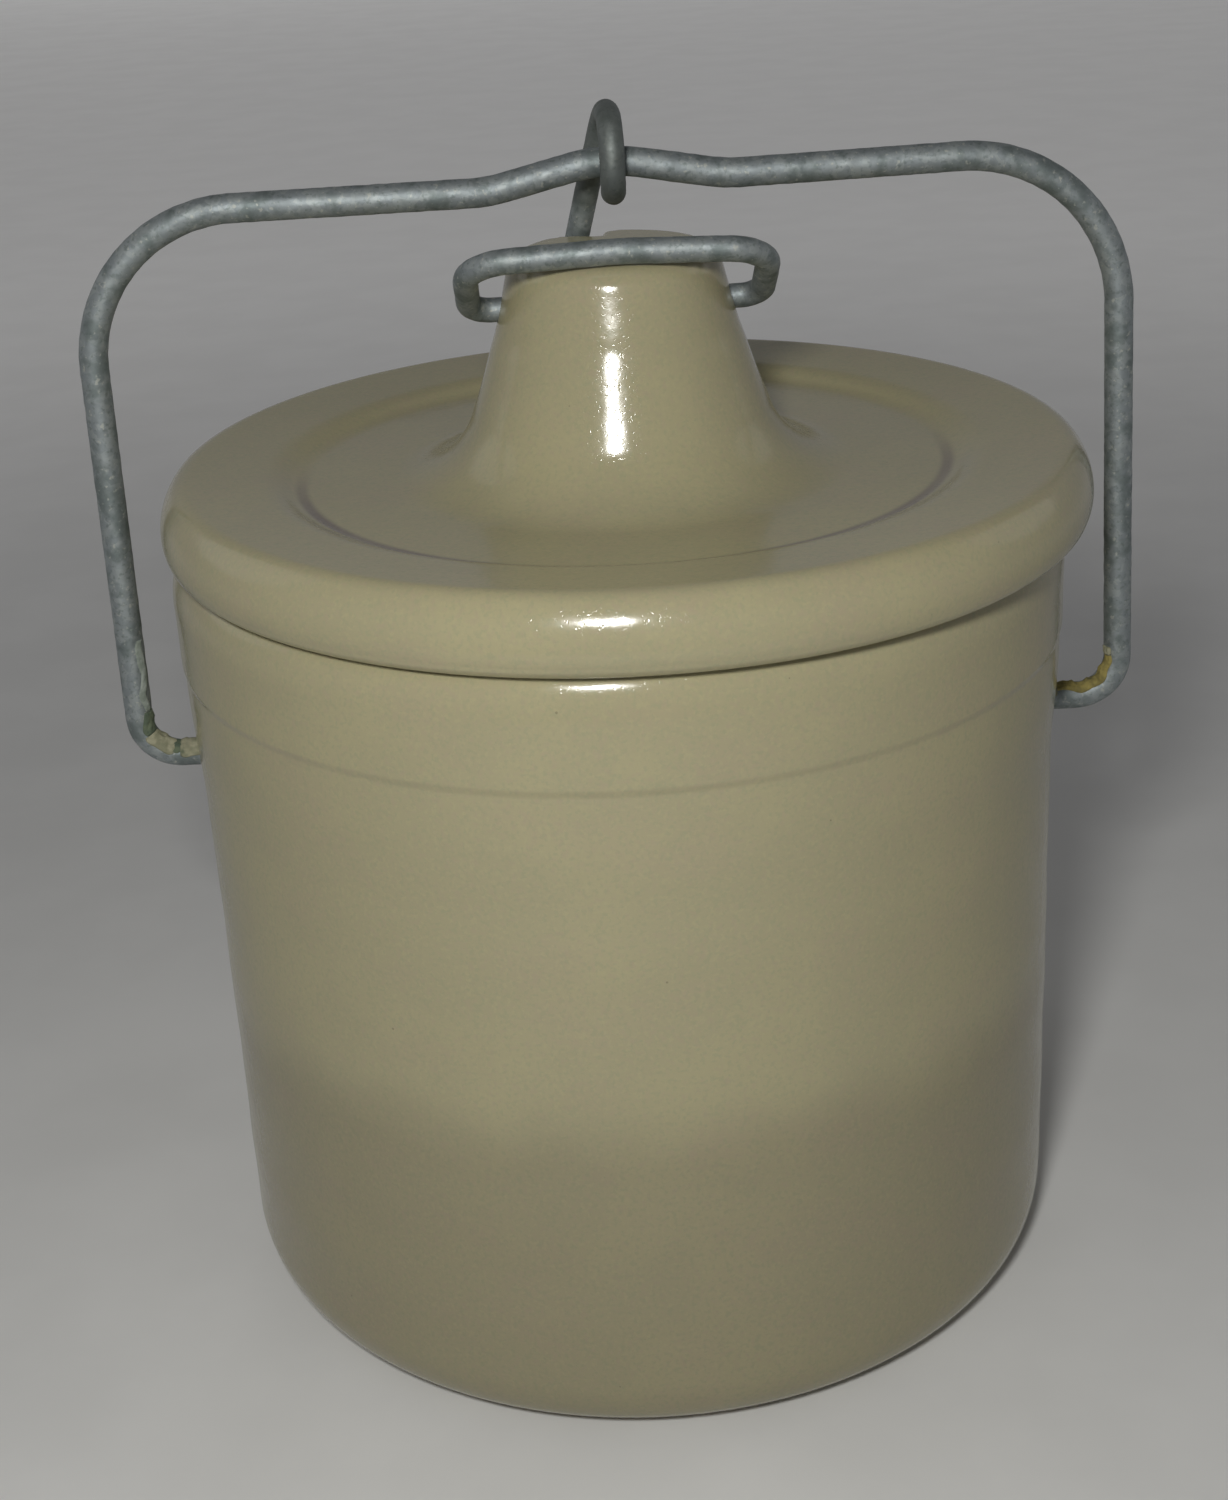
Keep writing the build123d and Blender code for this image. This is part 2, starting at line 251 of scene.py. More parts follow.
def lid_outline():
    """The lid's outline, from the knob's top round to the middle of the underside."""
    rim = arc((KNOB_FLAT_RADIUS, KNOB_TOP - KNOB_RIM_FILLET), KNOB_RIM_FILLET, 90, FLANK_LEAN, 0.25)
    flare_top = DISH_HEIGHT + FLARE_RADIUS * (1 - sin(radians(FLANK_LEAN)))
    flare_top_radius = rim[-1][0] + (rim[-1][1] - flare_top) * tan(radians(FLANK_LEAN))
    flare_centre = (flare_top_radius + FLARE_RADIUS * cos(radians(FLANK_LEAN)), DISH_HEIGHT + FLARE_RADIUS)
    flare = arc(flare_centre, FLARE_RADIUS, 180 + FLANK_LEAN, 270)

    # The side curves up and in, and turns over a tighter edge on to the brim.
    side = arc((LID_RADIUS - LID_SIDE_ROUND, LID_WIDEST_HEIGHT), LID_SIDE_ROUND, LID_EDGE_TURN, 0, 0.3)
    edge_centre = (
        side[0][0] - LID_EDGE_ROUND * cos(radians(LID_EDGE_TURN)),
        side[0][1] - LID_EDGE_ROUND * sin(radians(LID_EDGE_TURN)),
    )
    edge = arc(edge_centre, LID_EDGE_ROUND, 90 + BRIM_RISE, LID_EDGE_TURN, 0.2)

    # The dish floor climbs through a hollow and a round that runs level with the brim.
    hollow_centre = (DISH_RADIUS, DISH_HEIGHT + HOLLOW_RADIUS)
    hollow = arc(hollow_centre, HOLLOW_RADIUS, 270, 270 + DISH_CLIMB, 0.3)
    climb, rise = radians(DISH_CLIMB), radians(BRIM_RISE)
    still_to_climb = edge[0][1] - hollow[-1][1] - (edge[0][0] - hollow[-1][0]) * tan(rise)
    brim_round = still_to_climb / (cos(rise) - cos(climb) - (sin(climb) - sin(rise)) * tan(rise))
    brim_centre = (hollow[-1][0] + brim_round * sin(climb), hollow[-1][1] - brim_round * cos(climb))
    brim_start = arc(brim_centre, brim_round, 90 + DISH_CLIMB, 90 + BRIM_RISE, 0.3)

    # The lower side draws in to the underside.
    tuck = ellipse(
        (LID_LOWER_RADIUS, LID_WIDEST_HEIGHT),
        LID_RADIUS - LID_LOWER_RADIUS,
        LID_WIDEST_HEIGHT - LID_UNDERSIDE,
        0,
        -90,
        0.3,
    )
    plug_bottom = LID_UNDERSIDE - PLUG_DEPTH
    plug = arc((PLUG_RADIUS - PLUG_FILLET, plug_bottom + PLUG_FILLET), PLUG_FILLET, 0, -90, 0.3)

    # The underside domes up inside the plug, on a sphere centred on the axis.
    dome_start = PLUG_INNER_RADIUS - PLUG_DRAFT
    dome_rise = UNDERSIDE_DOME - UNDERSIDE_EDGE
    dome_radius = (dome_start ** 2 + dome_rise ** 2) / (2 * dome_rise)
    dome_angle = degrees(acos(dome_start / dome_radius))
    dome = arc((0, UNDERSIDE_DOME - dome_radius), dome_radius, dome_angle, 90, 4)

    points = line((0, KNOB_TOP), rim[0], 0.8) + rim
    points += line(rim[-1], flare[0], 0.5)[1:] + flare
    points += line(flare[-1], hollow[0])[1:] + hollow + brim_start[1:]
    points += line(brim_start[-1], edge[0], 0.6)[1:] + edge + side[1:] + tuck[1:]
    points += line((LID_LOWER_RADIUS, LID_UNDERSIDE), (SEAT_RADIUS, LID_UNDERSIDE))[1:]
    points += line((SEAT_RADIUS, LID_UNDERSIDE), (SEAT_RADIUS, SEAT_HEIGHT), 0.5)
    points += line((SEAT_RADIUS, SEAT_HEIGHT), (PLUG_RADIUS, SEAT_HEIGHT))
    points += line((PLUG_RADIUS, SEAT_HEIGHT), plug[0]) + plug
    points += line(plug[-1], (PLUG_INNER_RADIUS, plug_bottom))[1:]
    points += line((PLUG_INNER_RADIUS, plug_bottom), dome[0]) + dome[:-1]
    return points + [(0, UNDERSIDE_DOME)]


# ---- Meshes -----------------------------------------------------------------

def new_piece(name, mesh_data):
    piece = bpy.data.objects.new(name, mesh_data)
    bpy.context.scene.collection.objects.link(piece)
    return piece


def shift(piece, offset):
    """Moves a piece's mesh along X by an offset in mm."""
    piece.data.transform(Matrix.Translation((offset * MM, 0, 0)))


def finish_mesh(name, bm):
    """Turns a bmesh in millimetres into a smooth-shaded piece in metres."""
    bmesh.ops.recalc_face_normals(bm, faces=bm.faces)
    bmesh.ops.scale(bm, vec=(MM, MM, MM), verts=bm.verts)
    for face in bm.faces:
        face.smooth = True
    data = bpy.data.meshes.new(name)
    bm.to_mesh(data)
    bm.free()
    return new_piece(name, data)


def lathe(name, outline, segments, unevenness=None):
    """A turned solid from an outline that starts and ends on the axis."""
    bm = bmesh.new()
    rings = []
    for radius, height in outline:
        if radius < 1e-6:
            rings.append([bm.verts.new((0, 0, height))])
            continue
        ring = []
        for i in range(segments):
            angle = 2 * pi * i / segments
            around = Vector((cos(angle), sin(angle), 0))
            offset = unevenness(radius, height, around) if unevenness else 0
            ring.append(bm.verts.new(around * (radius + offset) + Vector((0, 0, height))))
        rings.append(ring)
    for inner, outer in zip(rings, rings[1:]):
        for i in range(segments):
            j = (i + 1) % segments
            corners = [
                inner[i % len(inner)],
                outer[i % len(outer)],
                outer[j % len(outer)],
                inner[j % len(inner)],
            ]
            bm.faces.new(list(dict.fromkeys(corners)))
    return finish_mesh(name, bm)


def pot_unevenness(radius, height, around):
    """Faint turning rings and a slight out-of-round on the pot's outside."""
    if radius < BORE_RADIUS + RIM_FILLET:
        return 0
    strength = eased((height - DRY_FOOT_HEIGHT) / 8) * eased((RIM_TOP - height) / 4)
    rings = noise.noise(Vector((around.x * 0.6, around.y * 0.6, height * 0.13)))
    broad = noise.noise(around * 0.9 + Vector((7, 3, height * 0.02)))
    return strength * (0.14 * rings + 0.12 * broad)


def lid_unevenness(radius, height, around):
    """A slight out-of-round on the lid's outside, and the knob's faint waist and ring."""
    if height < LID_WIDEST_HEIGHT - 2:
        return 0
    broad = noise.noise(around * 0.8 + Vector((2, 9, height * 0.05)))
    up = (height - KNOB_WAIST_BOTTOM) / (KNOB_WAIST_TOP - KNOB_WAIST_BOTTOM)
    waist = 4 * KNOB_WAIST * max(up * (1 - up), 0)
    ring = KNOB_RING_DEPTH * exp(-(((height - KNOB_RING_HEIGHT) / KNOB_RING_SPREAD) ** 2))
    return (0.10 * (broad - 0.6) - waist - ring) * eased((radius - 3) / 8)


def drum(name, radius, length, edge=0.3):
    """A cylinder along +Z from the origin, to cut a hole with."""
    outline = [(0, 0), (radius - edge, 0), (radius, edge)]
    outline += line((radius, edge), (radius, length), 0.5)[1:]
    outline += [(radius, length), (0, length)]
    return lathe(name, outline, 48)


def cut(piece, cutter):
    """Takes the cutter's shape out of the piece and deletes the cutter."""
    step = piece.modifiers.new("cut", "BOOLEAN")
    step.operation = "DIFFERENCE"
    step.solver = "EXACT"
    step.object = cutter
    bpy.context.view_layer.update()
    evaluated = piece.evaluated_get(bpy.context.evaluated_depsgraph_get())
    data = bpy.data.meshes.new_from_object(evaluated)
    piece.modifiers.clear()
    piece.data = data
    bpy.data.objects.remove(cutter)


def soften(piece, is_near, reach=EDGE_REACH, fine=0.28, rounds=14):
    """Rounds over the sharp edges that a cut left where is_near(point in mm) holds.

    The mesh is split finely within reach of those edges, and its points there
    are drawn towards their neighbours, the nearer ones most.
    """
    bm = bmesh.new()
    bm.from_mesh(piece.data)
    region = [f for f in bm.faces if is_near(f.calc_center_median() / MM)]
    bmesh.ops.triangulate(bm, faces=region)
    sharp = [
        e
        for e in bm.edges
        if len(e.link_faces) == 2
        and e.calc_face_angle(0) > radians(28)
        and is_near((e.verts[0].co + e.verts[1].co) / 2 / MM)
    ]
    spots = []
    for e in sharp:
        a, b = e.verts[0].co / MM, e.verts[1].co / MM
        count = max(1, ceil((b - a).length / fine))
        spots += [a.lerp(b, i / count) for i in range(count + 1)]
    tree = kdtree.KDTree(len(spots))
    for i, spot in enumerate(spots):
        tree.insert(spot, i)
    tree.balance()

    def distance(point):
        return tree.find(point / MM)[2]

    for _ in range(4):
        long_edges = [
            e
            for e in bm.edges
            if e.calc_length() > fine * MM
            and distance((e.verts[0].co + e.verts[1].co) / 2) < reach * 1.3
        ]
        if not long_edges:
            break
        bmesh.ops.subdivide_edges(bm, edges=long_edges, cuts=1)
        bmesh.ops.triangulate(bm, faces=[f for f in bm.faces if len(f.verts) > 4])

    band = {
        v: 1 - eased(distance(v.co) / reach)
        for v in bm.verts
        if distance(v.co) < reach and all(e.calc_length() < 4 * fine * MM for e in v.link_edges)
    }
    for _ in range(rounds):
        moved = {}
        for v, share in band.items():
            closeness = [1 / max(e.calc_length(), 0.1 * fine * MM) for e in v.link_edges]
            pulls = (e.other_vert(v).co * w for e, w in zip(v.link_edges, closeness))
            mean = sum(pulls, Vector()) / sum(closeness)
            moved[v] = v.co.lerp(mean, 0.6 * share)
        for v, place in moved.items():
            v.co = place
    for face in bm.faces:
        face.smooth = True
    bm.to_mesh(piece.data)
    bm.free()


def make_pot():
    pot = lathe("pot_body", pot_outline(), 300, pot_unevenness)
    for side in (-1, 1):
        hole = drum("hole", BAIL_HOLE_RADIUS, 2 * BAIL_HOLE_DEPTH)
        start = Vector((side * (POT_RADIUS - BAIL_HOLE_DEPTH), 0, BAIL_PIVOT_HEIGHT)) * MM
        hole.matrix_world = Matrix.Translation(start) @ Matrix.Rotation(side * pi / 2, 4, "Y")
        cut(pot, hole)

    def by_hole(p):
        return abs(p.y) < 5 and abs(p.z - BAIL_PIVOT_HEIGHT) < 5 and abs(p.x) > BORE_RADIUS + 1

    soften(pot, by_hole)
    return pot


def make_slot_cutter():
    """The block that cuts the slot for the latch's shank, out through the knob's top and back."""
    above = KNOB_TOP + 1.4
    corners = [
        (PIN_Y - 1.5, PIN_HEIGHT - 1.6),
        (PIN_Y - 1.5, PIN_HEIGHT + 1.9),
        (PIN_Y + 7.5, PIN_HEIGHT + 4.2),
        (PIN_Y + 6.7, above),
        (SLOT_BACK, above),
        (SLOT_BACK, SLOT_FLOOR),
        (PIN_Y + 7.5, SLOT_FLOOR),
        (PIN_Y - 0.8, PIN_HEIGHT - 1.9),
    ]
    bm = bmesh.new()
    face = bm.faces.new([bm.verts.new((SLOT_LEFT, y, z)) for y, z in corners])
    grown = bmesh.ops.extrude_face_region(bm, geom=[face])["geom"]
    new_verts = [v for v in grown if isinstance(v, bmesh.types.BMVert)]
    bmesh.ops.translate(bm, vec=(SLOT_RIGHT - SLOT_LEFT, 0, 0), verts=new_verts)
    return finish_mesh("slot", bm)


def make_lid():
    lid = lathe("lid_shell", lid_outline(), 300, lid_unevenness)
    past_knob = 2 * FLARE_RADIUS
    pin_hole = drum("pin_hole", PIN_HOLE_RADIUS, 2 * past_knob)
    start = Vector((-past_knob, PIN_Y, PIN_HEIGHT)) * MM
    pin_hole.matrix_world = Matrix.Translation(start) @ Matrix.Rotation(pi / 2, 4, "Y")
    cut(lid, pin_hole)
    cut(lid, make_slot_cutter())

    def on_knob(p):
        return p.z > DISH_HEIGHT + 5 and Vector((p.x, p.y)).length < SLOT_BACK

    def by_slot_top(p):
        return p.z > KNOB_TOP - 4 and p.y > 4 and p.x > SLOT_RIGHT - 1

    soften(lid, on_knob)
    soften(lid, by_slot_top, SLOT_TOP_REACH, rounds=SLOT_TOP_ROUNDS)
    shift(lid, LID_OFFSET)
    return lid


# ---- Wires ------------------------------------------------------------------

def wire_route(points, bends, step=0.35):
    """Points along a wire of straight runs joined by arcs, one bend radius for each corner."""
    points = [Vector(p) for p in points]
    route = [points[0]]

    def run_to(end):
        start = route[-1]
        count = max(1, ceil((end - start).length / step))
        route.extend(start.lerp(end, i / count) for i in range(1, count + 1))

    for before, corner, after, bend in zip(points, points[1:], points[2:], bends):
        back = (before - corner).normalized()
        on = (after - corner).normalized()
        half = back.angle(on) / 2
        start = corner + back * bend / tan(half)
        centre = corner + (back + on).normalized() * bend / sin(half)
        run_to(start)
        spoke = start - centre
        turned = pi - 2 * half
        axis = spoke.cross(corner + on * bend / tan(half) - centre).normalized()
        count = max(4, ceil(turned * bend / step))
        route.extend(centre + Quaternion(axis, turned * i / count) @ spoke for i in range(1, count + 1))
    run_to(points[-1])
    return route


def carried_frames(route):
    """(point, side, up) along a route, carried along it without twisting."""
    frames = []
    side = None
    for i, point in enumerate(route):
        ahead = (route[min(i + 1, len(route) - 1)] - route[max(i - 1, 0)]).normalized()
        if side is None:
            side = ahead.orthogonal().normalized()
        side = (side - ahead * side.dot(ahead)).normalized()
        frames.append((point, side, ahead.cross(side)))
    return frames


def wire(name, route, diameter, dents, sides=28):
    """A round wire with cut ends and a slightly lumpy zinc skin."""
    bm = bmesh.new()
    frames = carried_frames(route)
    rings = []
    last = len(frames) - 1
    for i, (point, side, up) in enumerate(frames):
        from_end = min(i, last - i)
        shrink = {0: 0.72, 1: 0.93}.get(from_end, 1.0)
        ring = []
        for k in range(sides):
            angle = 2 * pi * k / sides
            out = side * cos(angle) + up * sin(angle)
            lumps = noise.noise((point + out * diameter / 2) * 0.9)
            ring.append(bm.verts.new(point + out * (diameter / 2 * shrink + dents * (lumps - 0.6))))
        rings.append(ring)
    for first, second in zip(rings, rings[1:]):
        for k in range(sides):
            j = (k + 1) % sides
            bm.faces.new((first[k], first[j], second[j], second[k]))
    for ring, (point, _, _) in ((rings[0], frames[0]), (rings[-1], frames[-1])):
        middle = bm.verts.new(point)
        for k in range(sides):
            bm.faces.new((ring[k], ring[(k + 1) % sides], middle))
    return finish_mesh(name, bm)


def bail_route():
    points = [
        (-BAIL_END, 0, BAIL_PIVOT_HEIGHT),
        (-BAIL_LEFT_REACH, 0, BAIL_PIVOT_HEIGHT),
        (-BAIL_LEFT_REACH + BAIL_LEFT_LEAN, 0, BAIL_LEFT_TOP),
        (HUMP_X - HUMP_HALF_WIDTH, 0, BAIL_LEFT_TOP + 0.1),
        (HUMP_X, 0, HUMP_Z + HUMP_CORNER_RISE),
        (HUMP_X + HUMP_HALF_WIDTH, 0, BAIL_RIGHT_TOP - 0.6),
        (BAIL_RIGHT_REACH - BAIL_RIGHT_LEAN, 0, BAIL_RIGHT_TOP),
        (BAIL_RIGHT_REACH, 0, BAIL_PIVOT_HEIGHT),
        (BAIL_END, 0, BAIL_PIVOT_HEIGHT),
    ]
    top_bends = [BAIL_LEFT_BEND, HUMP_BEND, HUMP_BEND, HUMP_BEND, BAIL_RIGHT_BEND]
    return wire_route(points, [BAIL_FOOT_BEND, *top_bends, BAIL_FOOT_BEND])


def latch_route():
    eye_top = EYE_Z + EYE_RADIUS
    eye_bottom = EYE_Z - EYE_RADIUS
    ring = [
        (RING_END_X, PIN_Y, PIN_HEIGHT),
        (-RING_HALF_WIDTH, PIN_Y, PIN_HEIGHT),
        (-RING_HALF_WIDTH, BAR_Y, BAR_HEIGHT),
        (0, BAR_Y, BAR_HEIGHT + BAR_BOW),
        (RING_HALF_WIDTH, BAR_Y, BAR_HEIGHT),
        (RING_HALF_WIDTH, PIN_Y, PIN_HEIGHT),
    ]
    shank = [
        (SHANK_X, PIN_Y, PIN_HEIGHT),
        (SHANK_X + 0.9, PIN_Y + SHANK_BACK, PIN_HEIGHT + SHANK_RISE),
    ]
    eye = [
        (EYE_X - 0.3, EYE_RADIUS, eye_top),
        (EYE_X, -EYE_RADIUS, eye_top),
        (EYE_X, -EYE_RADIUS, eye_bottom),
        (EYE_X + 0.2, EYE_RADIUS - 2.5, eye_bottom),
    ]
    ring_bends = [RING_FOOT_BEND, RING_BEND, BAR_BEND, RING_BEND, RING_FOOT_BEND]
    bends = ring_bends + [SHANK_FOOT_BEND, SHANK_BEND] + [EYE_BEND] * 3
    return wire_route(ring + shank + eye, bends)


def crust(name, route, start, end, target, spread, thickness, seed):
    """A lumpy deposit on a wire from start to end, mm along it, on the side that faces target."""
    frames = carried_frames(route)
    target = Vector(target)
    travelled = 0.0
    stations = []
    for i, (point, side, up) in enumerate(frames):
        if i:
            travelled += (point - frames[i - 1][0]).length
        if start <= travelled <= end:
            stations.append((travelled, point, side, up))
    steps = 22
    wire_radius = BAIL_WIRE / 2
    bm = bmesh.new()
    tops, bottoms = [], []
    for travelled, point, side, up in stations:
        along = (travelled - start) / (end - start)
        facing = target - point
        middle = Vector((facing.dot(side), facing.dot(up)))
        fade_along = sin(pi * min(max(along, 0), 1)) ** 0.5
        wander = 0.45 * noise.noise(Vector((travelled * 0.35, seed, 0)))
        top, bottom = [], []
        for k in range(steps + 1):
            across = 2 * k / steps - 1
            width = radians(spread) * (0.55 + 0.45 * fade_along)
            width *= 1 + 0.35 * noise.noise(Vector((travelled * 0.5, seed + 5, across)))
            turned = Matrix.Rotation(across * width + wander, 2) @ middle.normalized()
            out = side * turned.x + up * turned.y
            spot = point + out * wire_radius
            lumps = 0.5 + 0.8 * noise.noise(spot * 1.1 + Vector((seed, 0, 0)))
            lumps += 0.5 * noise.noise(spot * 2.7 + Vector((0, seed, 0)))
            height = thickness * max(lumps, 0.25) * (1 - across ** 4) * fade_along
            top.append(bm.verts.new(point + out * (wire_radius + height)))
            bottom.append(bm.verts.new(point + out * (wire_radius - 0.15)))
        tops.append(top)
        bottoms.append(bottom)
    for sheet in (tops, bottoms):
        for row, following in zip(sheet, sheet[1:]):
            for k in range(steps):
                bm.faces.new((row[k], row[k + 1], following[k + 1], following[k]))
    for k in (0, steps):
        for i in range(len(tops) - 1):
            bm.faces.new((tops[i][k], tops[i + 1][k], bottoms[i + 1][k], bottoms[i][k]))
    for i in (0, -1):
        for k in range(steps):
            bm.faces.new((tops[i][k], tops[i][k + 1], bottoms[i][k + 1], bottoms[i][k]))
    return finish_mesh(name, bm)


# ---- Materials --------------------------------------------------------------

class Nodes:
    """Short ways to add and join shader nodes in one material."""

    def __init__(self, name):
        self.material = bpy.data.materials.new(name)
        self.material.use_nodes = True
        self.tree = self.material.node_tree
        self.shader = self.tree.nodes["Principled BSDF"]
        self.place = self.add("ShaderNodeTexCoord").outputs["Object"]

    def add(self, kind, **settings):
        node = self.tree.nodes.new(kind)
        for key, value in settings.items():
            setattr(node, key, value)
        return node

    def join(self, output, node_input):
        self.tree.links.new(output, node_input)

    def value(self, node_input, source):
        """Sets an input to a number, or joins it to an output."""
        if isinstance(source, bpy.types.NodeSocket):
            self.join(source, node_input)
        else:
            node_input.default_value = source

    def math(self, operation, first, second=0.0):
        node = self.add("ShaderNodeMath", operation=operation)
        self.value(node.inputs[0], first)
        self.value(node.inputs[1], second)
        return node.outputs[0]

    def stretched(self, factors):
        """Object coordinates in millimetres, scaled by three factors."""
        node = self.add("ShaderNodeMapping")
        node.inputs["Scale"].default_value = [f / MM for f in factors]
        self.join(self.place, node.inputs["Vector"])
        return node.outputs["Vector"]

    def noise(self, size, detail=3.0, stretch=(1, 1, 1), roughness=0.5):
        """Noise with features of about this size in millimetres."""
        node = self.add("ShaderNodeTexNoise")
        node.inputs["Scale"].default_value = 1.0 / size
        node.inputs["Detail"].default_value = detail
        node.inputs["Roughness"].default_value = roughness
        self.join(self.stretched(stretch), node.inputs["Vector"])
        return node.outputs["Fac"]

    def cells(self, size, randomness=1.0):
        """Distance from random spots about this far apart in millimetres."""
        node = self.add("ShaderNodeTexVoronoi")
        node.inputs["Scale"].default_value = 1.0 / size
        node.inputs["Randomness"].default_value = randomness
        self.join(self.stretched((1, 1, 1)), node.inputs["Vector"])
        return node

    def ramp(self, source, low, high, smooth=True):
        """0 below low, 1 above high."""
        node = self.add("ShaderNodeMapRange", interpolation_type="SMOOTHSTEP" if smooth else "LINEAR")
        self.join(source, node.inputs["Value"])
        node.inputs["From Min"].default_value = low
        node.inputs["From Max"].default_value = high
        return node.outputs["Result"]

    def share(self, source, low, high, most):
        """0 below low, most above high."""
        return self.math("MULTIPLY", self.ramp(source, low, high), most)

    def between(self, source, least, most):
        """A 0 to 1 output, taken to least to most."""
        node = self.add("ShaderNodeMapRange")
        self.join(source, node.inputs["Value"])
        node.inputs["To Min"].default_value = least
        node.inputs["To Max"].default_value = most
        return node.outputs["Result"]

    def mix(self, amount, first, second, blend="MIX"):
        node = self.add("ShaderNodeMix", data_type="RGBA", blend_type=blend)
        self.value(node.inputs["Factor"], amount)
        for socket, source in ((node.inputs["A"], first), (node.inputs["B"], second)):
            colour_input = [s for s in node.inputs if s.name == socket.name and s.type == "RGBA"][0]
            is_output = isinstance(source, bpy.types.NodeSocket)
            self.value(colour_input, source if is_output else (*source, 1))
        return [s for s in node.outputs if s.type == "RGBA"][0]

    def bump(self, height, distance, strength=1.0, under=None):
        node = self.add("ShaderNodeBump")
        node.inputs["Distance"].default_value = distance * MM
        node.inputs["Strength"].default_value = strength
        self.join(height, node.inputs["Height"])
        if under is not None:
            self.join(under, node.inputs["Normal"])
        return node.outputs["Normal"]

    def from_axis(self, offset):
        """Distance in millimetres from an upright axis that stands offset along X."""
        flat = self.add("ShaderNodeVectorMath", operation="SUBTRACT")
        self.join(self.stretched((1, 1, 0)), flat.inputs[0])
        flat.inputs[1].default_value = (offset, 0, 0)
        distance = self.add("ShaderNodeVectorMath", operation="LENGTH")
        self.join(flat.outputs["Vector"], distance.inputs[0])
        return distance.outputs["Value"]

    def height(self):
        """Height above the foot in millimetres."""
        return self.axes().outputs["Z"]

    def depth(self):
        """Distance behind the pot's axis in millimetres."""
        return self.axes().outputs["Y"]

    def axes(self):
        """A node whose outputs are the object coordinates, each in millimetres."""
        node = self.add("ShaderNodeSeparateXYZ")
        self.join(self.stretched((1, 1, 1)), node.inputs["Vector"])
        return node


def glaze(name, bare_below, thin_below, crease_shade_radius=None):
    """Glossy olive-taupe stoneware glaze over clay, all sizes in mm.

    Below bare_below the clay is bare. Below thin_below the glaze is a coat
    thinner, and so a little darker. A dark line of painted shade and reflection
    runs round the lid's dish at the radius that the last argument gives, fading away behind the knob.
    """
    n = Nodes(name)
    olive = (0.325, 0.298, 0.182)
    straw = (0.362, 0.330, 0.192)
    rosy = (0.335, 0.282, 0.192)
    green = (0.282, 0.283, 0.172)
    iron = (0.120, 0.095, 0.065)
    crease_shade_tone = (0.125, 0.095, 0.085)
    clay = (0.480, 0.400, 0.300)
    dark_clay = (0.390, 0.320, 0.235)

    # Broad drifts, then a fine grain of three tones, then a few iron specks.
    colour = n.mix(n.share(n.noise(16, 3), 0.44, 0.62, 0.40), olive, straw)
    colour = n.mix(n.share(n.noise(11, 4, (1, 1, 1.6)), 0.50, 0.68, 0.30), colour, rosy)
    colour = n.mix(n.share(n.noise(0.55, 3), 0.48, 0.66, 0.55), colour, green)
    colour = n.mix(n.share(n.noise(0.50, 3, (1, 1.1, 1)), 0.50, 0.68, 0.50), colour, straw)
    colour = n.mix(n.share(n.noise(0.75, 3, (1.1, 1, 1)), 0.52, 0.70, 0.45), colour, rosy)
    specks = n.cells(6.0)
    speck_size = n.math("MULTIPLY", n.noise(5, 1), 0.060)
    is_speck = n.math("LESS_THAN", specks.outputs["Distance"], n.math("SUBTRACT", speck_size, 0.012))
    colour = n.mix(n.math("MULTIPLY", is_speck, 0.45), colour, iron)
    edge = n.math("ADD", n.height(), n.math("MULTIPLY", n.noise(9, 3), 6.0))
    full_coat = n.ramp(edge, thin_below, thin_below + 11)
    colour = n.mix(1.0, colour, n.mix(full_coat, THIN_COAT, (1.0, 1.0, 1.0)), "MULTIPLY")

    # Painted shade and reflection: a dark line in the dish's crease, strongest in front of the knob.
    if crease_shade_radius:
        off_line = n.math("ABSOLUTE", n.math("SUBTRACT", n.from_axis(LID_OFFSET), crease_shade_radius))
        crease_shade = n.math("SUBTRACT", 1.0, n.ramp(off_line, 0.20, 1.15))
        crease_shade = n.math("MULTIPLY", crease_shade, n.ramp(n.height(), LID_WIDEST_HEIGHT, DISH_HEIGHT - 1))
        crease_shade = n.math("MULTIPLY", crease_shade, n.math("SUBTRACT", 1.0, n.ramp(n.depth(), -12, 8)))
        crease_shade = n.math("MULTIPLY", crease_shade, n.between(n.noise(9, 3), 0.45, 1.0))
        colour = n.mix(crease_shade, colour, crease_shade_tone)

    bare_edge = n.math("ADD", n.height(), n.math("MULTIPLY", n.noise(2.5, 2), 0.5))
    glazed = n.ramp(bare_edge, bare_below + 0.15, bare_below + 0.40)
    grain = n.mix(n.ramp(n.noise(0.5, 3), 0.35, 0.65), clay, dark_clay)
    colour = n.mix(glazed, grain, colour)
    n.join(colour, n.shader.inputs["Base Color"])

    rough = n.add("ShaderNodeMix", data_type="FLOAT")
    n.join(glazed, rough.inputs["Factor"])
    rough.inputs["A"].default_value = 0.85
    n.join(n.between(n.noise(3.5, 4), 0.10, 0.22), rough.inputs["B"])
    n.join(rough.outputs["Result"], n.shader.inputs["Roughness"])
    n.shader.inputs["IOR"].default_value = 1.50

    ripple = n.bump(n.noise(3.8, 2, (1, 1, 1.4)), 0.045)
    peel = n.bump(n.noise(1.0, 3), 0.011, under=ripple)
    pits = n.bump(n.ramp(n.noise(0.45, 2), 0.30, 0.42), 0.007, under=peel)
    n.join(pits, n.shader.inputs["Normal"])
    return n.material


